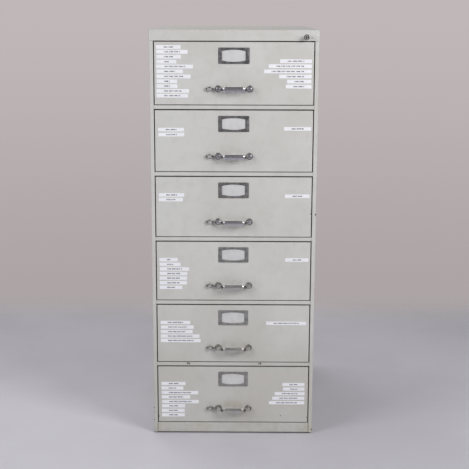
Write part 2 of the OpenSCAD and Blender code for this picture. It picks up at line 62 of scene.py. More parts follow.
# Places taken from the solids: the drawers' faces, the case and its cap, and the edges of the openings
FACE_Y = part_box("drawer_1_front")[0].y
CASE_LO, CASE_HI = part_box("right_side_panel")
CAP_LO, CAP_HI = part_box("top_cap")
OPENING_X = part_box("front_rails")[1].x
ABOVE_GAP = 5 * MM
OPENING_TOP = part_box("drawer_1_front")[1].z + ABOVE_GAP
PLINTH_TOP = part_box("drawer_6_front")[0].z

# Camera, fitted to the gap lines of the drawers
CAMERA_AT = Vector((0.0193, -3.1611, 1.2198))
CAMERA_DOWN, CAMERA_LEFT, CAMERA_ROLL = 12.225, 0.333, 0.168
LENS_MM, SENSOR_MM = 79.45, 36.0

# Bow pull, measured from its drawer's face and its rosettes' middle. Profiles to turn on a lathe,
# here and below, are (radius, distance in front) in millimetres.
ROSETTE_R = 9.75 * MM
ROSETTE_PROFILE = (
    (9.3, 0.0), (9.75, 0.35), (9.75, 0.9), (9.4, 1.3), (8.4, 2.0), (7.9, 2.6), (7.4, 2.95), (6.9, 2.8),
    (6.6, 2.45), (6.2, 2.6), (5.8, 3.3), (5.55, 4.4), (5.5, 6.0), (5.5, 12.3), (5.35, 12.8), (5.0, 13.15),
    (4.4, 13.3), (2.5, 13.45), (1.0, 13.5),
)
STUD_PROFILE = ((2.3, -5.2), (2.5, -4.9), (2.5, 0.4))
NUT_PROFILE = ((4.3, -4.2), (4.75, -3.8), (4.75, -1.2), (4.5, -1.0))
BOW_ROOT, BOW_REACH, BOW_T = 8.5 * MM, 26.0 * MM, 3.2 * MM
BOW_ROOT_R, BOW_CROWN_R, BOW_SLOPE = 7.0 * MM, 14.0 * MM, math.radians(66)
BOW_H, BOW_NECK_H, BOW_DROP, BOW_CROWN = 15.0 * MM, 8.0 * MM, 0.5 * MM, 1.7 * MM
BOW_NECK_X, BOW_GRIP_X = 27.5 * MM, 24.5 * MM
BOW_LEANS = {1: 5, 2: 3, 3: 1, 4: -2, 5: -4, 6: -5}

# The bow's section: shares of its crown and half height on its face and back, and round its edge the
# distance behind the crown's rim with the share of half height
BOW_FACE_CROWN, BOW_FACE_H, BOW_BACK_H = 0.88, 0.94, 0.96
BOW_EDGE = ((0.15 * MM, 0.985), (0.6 * MM, 1.0))

# Patches of painted shade on the bows' necks and of thumbing on the latches, in millimetres
NECK_SPOT_X, NECK_SPOT_OUT, NECK_SPOT_R = 30.0, 18.0, 7.5
THUMB_SPOT_OUT, THUMB_SPOT_R = 7.1, 5.2

# Thumb latch, measured from its drawer's face and its button's middle
LATCH_FROM_POST = 24.3 * MM
BUTTON_PROFILE = (
    (5.6, 4.5), (6.2, 4.8), (6.5, 5.4), (6.5, 7.4), (6.3, 8.0), (5.8, 8.4), (5.3, 8.5), (4.9, 8.25),
    (4.2, 7.7), (3.2, 7.15), (2.2, 6.8), (1.0, 6.6),
)
NECK_OUT, NECK_T, NECK_H, NECK_WAIST_H = 6.0 * MM, 3.0 * MM, 5.5 * MM, 4.4 * MM
NECK_WAIST_X, NECK_WAIST_HALF, NECK_CORNER = 4.0 * MM, 1.5 * MM, 0.9 * MM
NECK_ROOT, NECK_TIP = 1.0 * MM, 0.6 * MM
PAD_REACH, PAD_T, PAD_H = 9.5 * MM, 1.6 * MM, 9.0 * MM
PAD_OUT, PAD_BACK = 6.0 * MM, 1.5 * MM
STEM_W, STEM_H, STEM_OUT = 6.0 * MM, 4.4 * MM, 5.1 * MM
BAR_H, BAR_T, BAR_DEPTH = 12.0 * MM, 3.0 * MM, 5.5 * MM

# Label frame and its card
FRAME_RIM_W, FRAME_RIM_H, FRAME_T, FRAME_CORNER = 5.0 * MM, 1.2 * MM, 2.4 * MM, 2.0 * MM
FRAME_EDGE_T, FRAME_STEP_T, FRAME_SHOULDER = 0.5 * MM, 0.8 * MM, 0.35 * MM
FRAME_LIP, FRAME_ROLL, LIP_TOP, LIP_DEEP = 1.4 * MM, 0.5 * MM, 0.3 * MM, 0.8 * MM
WINDOW_W, WINDOW_END_H, WINDOW_BOW, WINDOW_CORNER = 65.0 * MM, 25.0 * MM, 4.0 * MM, 1.2 * MM
POCKET_D, POCKET_EDGE = 1.0 * MM, 2.0 * MM
RIVET_X, RIVET_Z = 36.0 * MM, 11.0 * MM
RIVET_PROFILE = ((2.1, 2.0), (2.1, 2.5), (1.9, 2.95), (1.3, 3.2), (0.5, 3.3))
CARD_W, CARD_H, CARD_T, CARD_CORNER, CARD_GAP = 68.0 * MM, 36.0 * MM, 0.3 * MM, 0.5 * MM, 0.2 * MM

# Label strips on the drawers, in millimetres, with the shares of a strip's length where it bends.
# They were stuck on a little carelessly: along, up and off the paint, and turned by some degrees.
# A higher power of CURL keeps what lifts off nearer to the strip's ends.
STRIP_H, STRIP_T, STRIP_MARGIN = 10.2, 0.25, 21.0
STRIP_STATIONS = (0.0, 0.04, 0.1, 0.3, 0.5, 0.7, 0.9, 0.96, 1.0)
STRIP_SLIDE, STRIP_SHIFT, STRIP_LIFT, STRIP_TILT, CURL = 0.6, 0.35, 0.5, 0.35, 12

# Lists of strips: how far below the front's top edge each starts, its pitch, its distance from the
# front's nearest end, and its strips' widths, all in millimetres
LEFT_STRIPS = {
    1: (9, 13.2, 6, (67, 86, 67, 55, 101, 72, 94, 57, 58, 90, 87)),
    2: (48.5, 13.6, 9, (72, 72)),
    3: (46, 13.6, 8, (72, 68)),
    4: (47, 13.6, 8, (52, 60, 84, 79, 79, 78, 65)),
    5: (47.5, 13.6, 9, (86, 95, 92, 112, 115)),
    6: (47.5, 13.8, 9.5, (70, 64, 107, 84, 108, 68, 67, 67)),
}
RIGHT_STRIPS = {
    1: (46.5, 13.7, 6, (87, 118, 130, 89, 67, 71)),
    2: (45, 13.6, 4.5, (75,)),
    3: (48.5, 13.6, 6, (69,)),
    4: (46.5, 13.6, 5, (66,)),
    5: (48.5, 13.6, 9, (115,)),
    6: (48.5, 14.2, 10, (65, 63, 88, 94, 104)),
}

# Print on the strips, in millimetres but for its weight in the font's own units. It counts up: each
# drawer, each strip and each next number adds its own step.
PRINT_H, PRINT_PITCH, PRINT_T, PRINT_BOLD = 3.7, 2.7, 0.03, 0.045
DRAWER_NUMBER, STRIP_NUMBER, NUMBER_STEP = 1000, 61, 17

# Push lock, measured from the cap's face
LOCK_PROFILE = (
    (7.7, 0.0), (7.7, 0.6), (7.5, 1.1), (7.1, 1.4), (6.7, 1.4), (6.45, 1.1), (6.4, 0.6), (6.4, -18.6),
    (6.6, -19.0), (7.4, -19.0), (7.5, -18.7), (7.5, -4.4), (8.4, -4.2), (8.5, -3.9), (8.5, -1.0),
    (7.5, -1.0), (7.5, 0.0),
)
PLUNGER_PROFILE = (
    (1.5, 9.4), (4.2, 9.4), (4.4, 9.6), (4.4, 16.8), (4.6, 17.2), (5.2, 17.8), (5.5, 17.95), (5.75, 17.85),
    (6.0, 17.4), (6.0, 3.2), (5.7, 2.9), (6.0, 2.6), (6.0, -18.7), (5.7, -19.0), (3.2, -19.0), (3.2, -23.0),
)
PLUG_PROFILE = ((3.2, 17.6), (3.8, 17.3), (4.0, 17.0), (4.0, 10.2), (3.8, 10.0))
WEDGE_L, WEDGE_Y, WEDGE_W = 12.0 * MM, -22.0 * MM, 6.4 * MM
KEY_W, KEY_H, KEY_CORNER, KEY_FLOOR, KEY_MOUTH = 1.0 * MM, 5.0 * MM, 0.3 * MM, 15.5 * MM, 17.7 * MM


def colour(red, green, blue):
    """A colour from 0 to 255 a channel, as it should look, in Blender's linear values."""
    def linear(value):
        share = value / 255
        return share / 12.92 if share <= 0.04045 else ((share + 0.055) / 1.055) ** 2.4
    return (linear(red), linear(green), linear(blue), 1.0)


class Finish:
    """A procedural material: short calls that add nodes and wire them up."""

    def __init__(self, name):
        self.material = bpy.data.materials.new(name)
        self.material.use_nodes = True
        self.tree = self.material.node_tree
        self.shader = self.tree.nodes["Principled BSDF"]
        self.output = self.tree.nodes["Material Output"]
        coords = self.node("ShaderNodeTexCoord")
        self.place = coords.outputs["Object"]
        self.generated = coords.outputs["Generated"]

    def node(self, kind, **settings):
        made = self.tree.nodes.new(kind)
        for key, value in settings.items():
            setattr(made, key, value)
        return made

    def feed(self, socket, value):
        """Links another node's output to the socket, or writes a plain value on it."""
        if isinstance(value, bpy.types.NodeSocket):
            self.tree.links.new(value, socket)
        else:
            socket.default_value = value

    def set(self, **inputs):
        """Sets the shader's inputs, with underscores for the spaces in their names."""
        for key, value in inputs.items():
            self.feed(self.shader.inputs[key.replace("_", " ")], value)

    def math(self, operation, a, b=0.0, clamp=False):
        made = self.node("ShaderNodeMath", operation=operation, use_clamp=clamp)
        self.feed(made.inputs[0], a)
        self.feed(made.inputs[1], b)
        return made.outputs[0]

    def vector(self, operation, a, b):
        made = self.node("ShaderNodeVectorMath", operation=operation)
        self.feed(made.inputs[0], a)
        self.feed(made.inputs[1], b)
        return made.outputs["Value" if operation == "DISTANCE" else "Vector"]

    def axes(self, vector):
        made = self.node("ShaderNodeSeparateXYZ")
        self.feed(made.inputs[0], vector)
        return made.outputs["X"], made.outputs["Y"], made.outputs["Z"]

    def noise(self, scale, detail=3.0, stretch=None, vector=None):
        place = vector or self.place
        if stretch:
            place = self.vector("MULTIPLY", place, stretch)
        made = self.node("ShaderNodeTexNoise")
        self.feed(made.inputs["Vector"], place)
        made.inputs["Scale"].default_value = scale
        made.inputs["Detail"].default_value = detail
        return made.outputs["Fac"]

    def cells(self, scale):
        made = self.node("ShaderNodeTexVoronoi")
        self.feed(made.inputs["Vector"], self.place)
        made.inputs["Scale"].default_value = scale
        return made.outputs["Distance"]

    def span(self, value, low, high, start=0.0, end=1.0):
        """Smooth step from start at low to end at high."""
        made = self.node("ShaderNodeMapRange", interpolation_type="SMOOTHSTEP")
        names = ("Value", "From Min", "From Max", "To Min", "To Max")
        for name, given in zip(names, (value, low, high, start, end)):
            self.feed(made.inputs[name], given)
        return made.outputs["Result"]

    def mix(self, share, a, b):
        made = self.node("ShaderNodeMix", data_type="RGBA")
        for index, value in ((0, share), (6, a), (7, b)):
            self.feed(made.inputs[index], value)
        return made.outputs[2]

    def bump(self, height, distance, strength=1.0, over=None):
        made = self.node("ShaderNodeBump")
        made.inputs["Strength"].default_value = strength
        made.inputs["Distance"].default_value = distance
        self.feed(made.inputs["Height"], height)
        if over:
            self.feed(made.inputs["Normal"], over)
        return made.outputs["Normal"]

    def rounded_edges(self, radius):
        """Shading normal that rounds off sharp edges, as folded sheet has them."""
        made = self.node("ShaderNodeBevel", samples=4)
        made.inputs["Radius"].default_value = radius
        return made.outputs["Normal"]

    def spots(self, places, ragged=0.35):
        """Mask of small round patches: each place is (x, y, z, radius) in millimetres."""
        wobble = self.span(self.noise(400, 2), 0.2, 0.8, 1 - ragged, 1 + ragged)
        total = None
        for x, y, z, radius in places:
            reach = self.vector("DISTANCE", self.place, (x * MM, y * MM, z * MM))
            reach = self.math("MULTIPLY", reach, wobble)
            patch = self.span(reach, radius * 0.7 * MM, radius * MM, 1.0, 0.0)
            total = patch if total is None else self.math("MAXIMUM", total, patch)
        return total


def case_edges(finish):
    """1 along the outer edges of the case, falling to 0 a few millimetres away."""
    x, y, z = finish.axes(finish.place)
    reach = 4 * MM

    def near(distance):
        return finish.span(distance, 0.0, reach, 1.0, 0.0)

    side = near(finish.math("SUBTRACT", CAP_HI.x, finish.math("ABSOLUTE", x)))
    front = near(finish.math("SUBTRACT", y, CAP_LO.y))
    top = near(finish.math("SUBTRACT", CAP_HI.z, z))
    foot = near(finish.math("SUBTRACT", z, CASE_LO.z))
    ends = finish.math("MAXIMUM", top, foot)
    upright = finish.math("MULTIPLY", side, front)
    level = finish.math("MULTIPLY", front, ends)
    endways = finish.math("MULTIPLY", side, ends)
    return finish.math("MAXIMUM", finish.math("MAXIMUM", upright, level), endways)


def front_edges(finish):
    """1 along the four edges of a drawer front, falling to 0 a few millimetres away."""
    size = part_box("drawer_1_front")[1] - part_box("drawer_1_front")[0]
    x, _, z = finish.axes(finish.generated)
    reach = 2.5 * MM
    nearest = []
    for share, length in ((x, size.x), (z, size.z)):
        middle = finish.math("ABSOLUTE", finish.math("SUBTRACT", share, 0.5))
        distance = finish.math("MULTIPLY", finish.math("SUBTRACT", 0.5, middle), length)
        nearest.append(finish.span(distance, 0.0, reach, 1.0, 0.0))
    return finish.math("MAXIMUM", *nearest)


def gap_painted_shade(finish, start, end):
    """Painted shade: 1 on the faces that line the drawer gaps, from start to end behind the drawers' faces.
    """
    x, y, z = finish.axes(finish.place)
    behind = finish.math("SUBTRACT", y, FACE_Y)
    near = finish.span(behind, start, start + 0.8 * MM)
    far = finish.span(behind, end, end + MM, 1.0, 0.0)
    across = finish.span(finish.math("ABSOLUTE", x), OPENING_X + MM, OPENING_X + 2 * MM, 1.0, 0.0)
    below = finish.span(z, OPENING_TOP, OPENING_TOP + MM, 1.0, 0.0)
    lining = finish.math("MULTIPLY", near, far)
    opening = finish.math("MULTIPLY", across, below)
    return finish.math("MULTIPLY", lining, opening)


def plinth_lines(finish):
    """Dirt in the seams at the plinth's ends, and painted shadow along its foot."""
    x, _, z = finish.axes(finish.place)
    aside = finish.math("SUBTRACT", finish.math("ABSOLUTE", x), OPENING_X)
    seam = finish.span(finish.math("ABSOLUTE", aside), 0.4 * MM, 1.6 * MM, 1.0, 0.0)
    between = finish.span(aside, -MM, 0.0, 1.0, 0.0)
    # Painted shadow: a dark line where the plinth stands just off the floor
    foot = finish.math("MULTIPLY", between, finish.span(z, CASE_LO.z + MM, CASE_LO.z + 3 * MM, 1.0, 0.0))
    low = finish.span(z, PLINTH_TOP - MM, PLINTH_TOP, 0.6, 0.0)
    return finish.math("MULTIPLY", low, finish.math("MAXIMUM", seam, foot))


def pull_grime(finish):
    """Handling dirt round the pull, the same distance up every drawer front."""
    x, _, z = finish.axes(finish.generated)
    pull_x, pull_z, reach = 0.48, 0.24, 0.22
    across = finish.math("ABSOLUTE", finish.math("SUBTRACT", x, pull_x))
    across = finish.span(across, 0.05, reach, 1.0, 0.0)
    up = finish.math("ABSOLUTE", finish.math("SUBTRACT", z, pull_z))
    up = finish.span(up, 0.03, reach, 1.0, 0.0)
    return finish.math("MULTIPLY", across, up)


def foot_grime(finish):
    """Dirt that rises from the floor up the plinth and the foot of the sides."""
    z = finish.axes(finish.place)[2]
    return finish.span(z, CASE_LO.z, CASE_LO.z + 60 * MM, 1.0, 0.0)


def enamel(name, edge_mask, chips, stains, gap, gap_tone, dirt):
    """Old semi-gloss stove enamel: mottled, thinly scratched, chipped and dulled with handling."""
    f = Finish(name)
    clouds = f.noise(5, 4)
    mottle = f.noise(38, 4)
    body = f.mix(f.span(clouds, 0.35, 0.68), colour(213, 213, 210), colour(206, 204, 199))
    body = f.mix(f.span(mottle, 0.45, 0.75, 0.0, 0.38), body, colour(198, 196, 189))
    streaks = f.span(f.noise(24, 3, stretch=(9, 9, 0.6)), 0.62, 0.8, 0.0, 0.18)
    body = f.mix(streaks, body, colour(186, 183, 175))
    yellow = f.math("MULTIPLY", f.spots(stains, 0.5), f.span(mottle, 0.3, 0.6, 0.15, 0.4))
    body = f.mix(yellow, body, colour(196, 186, 158))
    # Painted shade: the paint darkens towards the floor, as the lamps' light falls off
    z = f.axes(f.place)[2]
    low = f.math("MULTIPLY", f.span(z, 0.0, 0.55, 0.5, 0.0), f.span(clouds, 0.3, 0.7, 0.7, 1.0))
    body = f.mix(low, body, colour(187, 183, 175))
    soil = f.math("MULTIPLY", dirt(f), f.span(f.noise(60, 5), 0.35, 0.75, 0.0, 0.36))
    body = f.mix(soil, body, colour(168, 164, 155))
    scratch = f.span(f.noise(130, 2, stretch=(0.25, 1, 7)), 0.72, 0.76, 0.0, 0.3)
    body = f.mix(scratch, body, colour(222, 221, 217))
    rim = f.math("MULTIPLY", edge_mask(f), f.span(f.noise(170, 4), 0.52, 0.66))
    bare = f.math("MAXIMUM", f.math("MULTIPLY", rim, 0.22), f.spots(chips))
    body = f.mix(bare, body, colour(92, 88, 82))
    # The gap tone paints shade into the drawer gaps and a shadow along the plinth's foot, and dirt into the
    # plinth's seams
    lines = f.math("MAXIMUM", gap_painted_shade(f, *gap), plinth_lines(f))
    seam_dirt_and_shade = f.math("MULTIPLY", lines, f.span(mottle, 0.3, 0.7, 0.9, 1.0))
    body = f.mix(seam_dirt_and_shade, body, gap_tone)
    facing = f.axes(f.node("ShaderNodeNewGeometry").outputs["Normal"])[2]
    dust = f.math("MULTIPLY", f.span(facing, 0.7, 0.95), f.span(mottle, 0.3, 0.6, 0.75, 1.0))
    body = f.mix(f.math("MULTIPLY", dust, 0.4), body, colour(190, 187, 180))
    dull = f.math("MULTIPLY", f.math("MAXIMUM", bare, dust), 0.3)
    f.set(Base_Color=body, Metallic=0.0)
    f.set(Roughness=f.math("ADD", f.span(clouds, 0.3, 0.7, 0.34, 0.46), dull))
    peel = f.bump(f.noise(620, 2), 0.00006, 0.35, over=f.rounded_edges(1.5 * MM))
    f.set(Normal=f.bump(bare, 0.00012, 0.6, over=f.bump(f.noise(9, 2), 0.0009, 0.25, over=peel)))
    return f.material


def plain_enamel(name, light, dark):
    """Semi-matt paint of the pieces inside, rubbed where the cards and rails slide."""
    f = Finish(name)
    clouds = f.noise(11, 4)
    body = f.mix(f.span(clouds, 0.35, 0.7), light, dark)
    rub = f.span(f.noise(85, 4, stretch=(5, 0.35, 5)), 0.6, 0.74, 0.0, 0.5)
    body = f.mix(rub, body, colour(176, 175, 170))
    specks = f.span(f.cells(260), 0.04, 0.1, 0.5, 0.0)
    f.set(Base_Color=f.mix(specks, body, colour(96, 93, 88)), Metallic=0.0)
    f.set(Roughness=f.span(clouds, 0.3, 0.7, 0.42, 0.6))
    f.set(Normal=f.bump(f.noise(700, 2), 0.00006, 0.4))
    return f.material


def rolled_steel(name, light, dark):
    """Zinc-plated sheet with fine rolling lines along Y and dull blooms."""
    f = Finish(name)
    grain = f.noise(90, 3, stretch=(14, 0.3, 14))
    bloom = f.noise(30, 4)
    body = f.mix(f.span(bloom, 0.35, 0.7), light, dark)
    body = f.mix(f.span(grain, 0.5, 0.8, 0.0, 0.35), body, colour(122, 121, 118))
    f.set(Base_Color=body, Metallic=1.0)
    f.set(Roughness=f.math("ADD", f.span(bloom, 0.3, 0.7, 0.3, 0.48), f.span(grain, 0.4, 0.8, 0.0, 0.1)))
    f.set(Normal=f.bump(grain, 0.00004, 0.5))
    return f.material


def nickel(name, bright, dull, tarnish, rough, floor_reflection_tint, soil_and_shade_tones, thumbed=(), painted_shade_spots=()):
    """Worn plate: cloudy, brown in patches, with pits and rubbing marks.

    It dulls towards the floor and turns to a tint that is a painted reflection of the lit floor. The dirt
    and painted shade close to the drawers' faces have two tones, for high up and low down. Spots are rubbed
    bright by thumbs, or hold painted shade on the bows' necks.
    """
    f = Finish(name)
    clouds = f.noise(70, 4)
    patches = f.span(f.noise(150, 5), 0.5, 0.72, 0.0, 0.75)
    body = f.mix(f.span(clouds, 0.35, 0.7), bright, dull)
    body = f.mix(patches, body, tarnish)
    _, y, z = f.axes(f.place)
    # Painted reflection: towards the floor the plate turns to a tint that stands for the lit floor it
    # reflects
    lowness = f.span(z, 0.2, 1.0, 1.0, 0.0)
    body = f.mix(f.math("MULTIPLY", lowness, 0.75), body, floor_reflection_tint)
    # Painted shade, with some dirt, in the recess close to the drawer's face
    near_face = f.span(y, FACE_Y - 4.5 * MM, FACE_Y - 2.5 * MM)
    soil = f.math("MULTIPLY", near_face, f.span(clouds, 0.3, 0.7, 0.6, 0.9))
    body = f.mix(soil, body, f.mix(lowness, *soil_and_shade_tones))
    pits = f.span(f.cells(900), 0.06, 0.16, 0.7, 0.0)
    body = f.mix(pits, body, colour(70, 66, 60))
    worn = f.math("ADD", f.math("MULTIPLY", patches, 0.15), f.math("MULTIPLY", soil, 0.4))
    worn = f.math("ADD", worn, f.math("MULTIPLY", lowness, 0.08))
    if thumbed:
        satin = f.spots(thumbed, 0.1)
        body = f.mix(f.math("MULTIPLY", satin, 0.7), body, colour(222, 221, 220))
        worn = f.math("ADD", worn, f.math("MULTIPLY", satin, 0.35))
    # Painted shade where the bows' necks meet the rosettes
    if painted_shade_spots:
        corner = f.spots(painted_shade_spots, 0.2)
        body = f.mix(f.math("MULTIPLY", corner, 0.85), body, colour(70, 68, 66))
        worn = f.math("ADD", worn, f.math("MULTIPLY", corner, 0.4))
    f.set(Base_Color=body, Metallic=1.0)
    f.set(Roughness=f.math("ADD", f.span(clouds, 0.3, 0.7, rough, rough + 0.12), worn))
    rubbed = f.noise(420, 2, stretch=(0.3, 1, 3))
    f.set(Normal=f.bump(pits, 0.00005, 0.5, over=f.bump(rubbed, 0.00003, 0.35)))
    return f.material


def paper(name, light, dark, fox):
    """Uncoated paper: fibres, slight yellowing and a few brown specks."""
    f = Finish(name)
    fibres = f.noise(900, 4, stretch=(1, 1, 3))
    clouds = f.noise(40, 3)
    body = f.mix(f.span(clouds, 0.35, 0.7), light, dark)
    body = f.mix(f.span(fibres, 0.5, 0.8, 0.0, 0.3), body, dark)
    specks = f.span(f.cells(170), 0.03, 0.08, 0.45, 0.0)
    f.set(Base_Color=f.mix(specks, body, fox), Metallic=0.0)
    f.set(Roughness=f.span(fibres, 0.3, 0.7, 0.7, 0.85))
    f.set(Normal=f.bump(fibres, 0.00004, 0.5))
    return f.material


def ink(name):
    """Dark print that is thinner in places."""
    f = Finish(name)
    f.set(Base_Color=f.mix(f.span(f.noise(1400, 3), 0.4, 0.75), colour(18, 18, 24), colour(52, 52, 60)))
    f.set(Roughness=f.span(f.noise(900, 2), 0.3, 0.7, 0.55, 0.75), Metallic=0.0)
    return f.material


def floor_finish(name):
    """Pale studio floor that fades out into the backdrop at its edges."""
    f = Finish(name)
    body = f.mix(f.span(f.noise(2.2, 4), 0.35, 0.7), colour(215, 213, 220), colour(209, 207, 214))
    f.set(Base_Color=body, Roughness=f.span(f.noise(14, 3), 0.3, 0.7, 0.55, 0.7), Metallic=0.0)
    x, y, _ = f.axes(f.place)
    back = f.span(y, FLOOR_BACK - BACK_FADE, FLOOR_BACK, 1.0, 0.0)
    front = f.span(y, FLOOR_FRONT, FLOOR_FRONT + FAR_FADE)
    sides = f.span(f.math("ABSOLUTE", x), FLOOR_SIDE - FAR_FADE, FLOOR_SIDE, 1.0, 0.0)
    shown = f.math("MULTIPLY", sides, f.math("MULTIPLY", back, front))
    clear = f.node("ShaderNodeBsdfTransparent")
    blend = f.node("ShaderNodeMixShader")
    f.feed(blend.inputs[0], shown)
    f.feed(blend.inputs[1], clear.outputs[0])
    f.feed(blend.inputs[2], f.shader.outputs[0])
    f.feed(f.output.inputs["Surface"], blend.outputs[0])
    return f.material


class Shape:
    """Points and faces of one piece, gathered in the part's frame."""

    def __init__(self):
        self.points = []
        self.faces = []

    def add(self, points, faces):
        start = len(self.points)
        self.points.extend(points)
        self.faces.extend([start + index for index in face] for face in faces)

    def loft(self, rings, loop=False):
        """Skins rings of equally many points. An open loft gets end caps; a loop closes on itself."""
        count, last = len(rings[0]), len(rings) - 1
        faces = []
        for i in range(len(rings) if loop else last):
            a, b = i * count, (i + 1) % len(rings) * count
            faces += [(a + k, a + (k + 1) % count, b + (k + 1) % count, b + k) for k in range(count)]
        if not loop:
            faces += [range(count), range(last * count, (last + 1) * count)]
        self.add([point for ring in rings for point in ring], faces)

    def lathe(self, centre, profile, steps=48, loop=False):
        """Turns (radius, out) points in millimetres about the axis that runs forwards from centre."""
        turns = [2 * math.pi * k / steps for k in range(steps)]
        self.loft([
            [centre + Vector((r * math.cos(a), -out, r * math.sin(a))) * MM for a in turns]
            for r, out in profile
        ], loop)

    def bar(self, sections, axis):
        """Lofts rounded rectangles along an axis: each section is (middle, width, height, corner)."""
        self.loft([
            [middle + turn_to(axis, u, v) for u, v in rounded(width, height, corner)]
            for middle, width, height, corner in sections
        ])


def turn_to(axis, u, v):
    """A section's own two directions, set square to the axis that it is lofted along."""
    return Vector((0, u, v)) if axis == "X" else Vector((u, 0, v))


def rounded(width, height, corner, bow=0.0, steps=6, side_steps=8):
    """Rectangle with round corners whose long edges bow outwards, as (x, z) points, anticlockwise."""
    x, z = width / 2 - corner, height / 2 - corner
    points = []
    for quarter, (cx, cz) in enumerate(((x, -z), (x, z), (-x, z), (-x, -z))):
        for k in range(steps + 1):
            a = math.pi / 2 * (quarter - 1 + k / steps)
            points.append((cx + corner * math.cos(a), cz + corner * math.sin(a)))
        if quarter in (1, 3):
            edge = cz + math.copysign(corner, cz)
            points += [(cx - 2 * cx * k / side_steps, edge) for k in range(1, side_steps)]
    swell = [bow * max(0.0, 1 - (px / (width / 2)) ** 2) for px, pz in points]
    return [(px, pz + math.copysign(extra, pz)) for (px, pz), extra in zip(points, swell)]


def piece(shape, name, body, finish, replaces=None, sharp=38):
    """Makes a Blender object of the shape, smooth but for its sharp edges, riding on a body."""
    mesh = bpy.data.meshes.new(name)
    mesh.from_pydata(shape.points, [], shape.faces)
    work = bmesh.new()
    work.from_mesh(mesh)
    bmesh.ops.recalc_face_normals(work, faces=work.faces)
    work.to_mesh(mesh)
    work.free()
    mesh.shade_smooth()
    mesh.set_sharp_from_angle(angle=math.radians(sharp))
    mesh.materials.append(finish)
    made = bpy.data.objects.new(name, mesh)
    bpy.context.scene.collection.objects.link(made)
    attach(made, body)
    if replaces:
        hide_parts(replaces)
    return made


def middle_of(node):
    """The point on the drawer's or cap's face behind the middle of a node."""
    lo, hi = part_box(node)
    return Vector(((lo.x + hi.x) / 2, FACE_Y, (lo.z + hi.z) / 2))


def bow_line(post_x):
    """The bow's middle line from post to post: (x, distance in front, heading) at each station."""
    steps, straight_steps, grip_steps = 8, 4, 14
    rise = BOW_REACH - BOW_T / 2 - BOW_ROOT
    bends = BOW_ROOT_R + BOW_CROWN_R
    straight = (rise - bends * (1 - math.cos(BOW_SLOPE))) / math.sin(BOW_SLOPE)
    run = bends * math.sin(BOW_SLOPE) + straight * math.cos(BOW_SLOPE)
    half = []
    for k in range(steps + 1):
        a = BOW_SLOPE * k / steps
        half.append((BOW_ROOT_R * math.sin(a) - post_x, BOW_ROOT + BOW_ROOT_R * (1 - math.cos(a)), a))
    x, out, a = half[-1]
    for k in range(1, straight_steps):
        along = straight * k / straight_steps
        half.append((x + along * math.cos(a), out + along * math.sin(a), a))
    for k in range(steps + 1):
        a = BOW_SLOPE * (1 - k / steps)
        crown = BOW_REACH - BOW_T / 2 - BOW_CROWN_R * (1 - math.cos(a))
        half.append((run - post_x - BOW_CROWN_R * math.sin(a), crown, a))
    x, out, a = half[-1]
    grip = [(x - 2 * x * k / grip_steps, out, 0.0) for k in range(1, grip_steps)]
    return half + grip + [(-x, out, -a) for x, out, a in reversed(half)]


def bow_section(height, lean):
    """Section of the bow as (out, up), leaning by some degrees.

    It is crowned in front, round at its edges and flat behind.
    """
    half, crown, steps = height / 2, BOW_CROWN * height / BOW_H, 6
    shares = [k / steps for k in range(-steps, steps + 1)]
    front = [
        (BOW_T / 2 - crown * share ** 2 * BOW_FACE_CROWN, BOW_FACE_H * half * share) for share in shares
    ]
    rim = BOW_T / 2 - crown
    upper = [(rim - behind, share * half) for behind, share in BOW_EDGE]
    upper.append((-BOW_T / 2, BOW_BACK_H * half))
    lower = [(out, -up) for out, up in reversed(upper)]
    section = front + upper + [(-BOW_T / 2, 0.0)] + lower
    return [(out + up * math.tan(math.radians(lean)), up) for out, up in section]


def pull(n):
    """Cast bow pull: lathe-turned rosettes with posts, the bow between them, studs and nuts."""
    node = f"drawer_{n}_handle"
    lo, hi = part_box(node)
    centre = middle_of(node)
    post_x = (hi.x - lo.x) / 2 - ROSETTE_R
    shape = Shape()
    for side in (-post_x, post_x):
        post = centre + Vector((side, 0, 0))
        shape.lathe(post, ROSETTE_PROFILE)
        shape.lathe(post, STUD_PROFILE, 20)
        shape.lathe(post, NUT_PROFILE, 6)
    rings = []
    for x, out, heading in bow_line(post_x):
        share = min(1.0, max(0.0, (BOW_NECK_X - abs(x)) / (BOW_NECK_X - BOW_GRIP_X)))
        share = share * share * (3 - 2 * share)
        height = BOW_NECK_H + (BOW_H - BOW_NECK_H) * share
        aside, ahead = math.sin(heading), math.cos(heading)
        rings.append([
            centre + Vector((x - thick * aside, -out - thick * ahead, up - BOW_DROP * share))
            for thick, up in bow_section(height, BOW_LEANS[n])
        ])
    shape.loft(rings)
    piece(shape, f"drawer_{n}_pull", f"drawer_{n}", NICKEL, node)


def button_foot(n):
    """The point on the drawer's face behind the middle of a latch's button."""
    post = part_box(f"drawer_{n}_handle")[0].x + ROSETTE_R
    return Vector((post - LATCH_FROM_POST, FACE_Y, middle_of(f"drawer_{n}_latch").z))


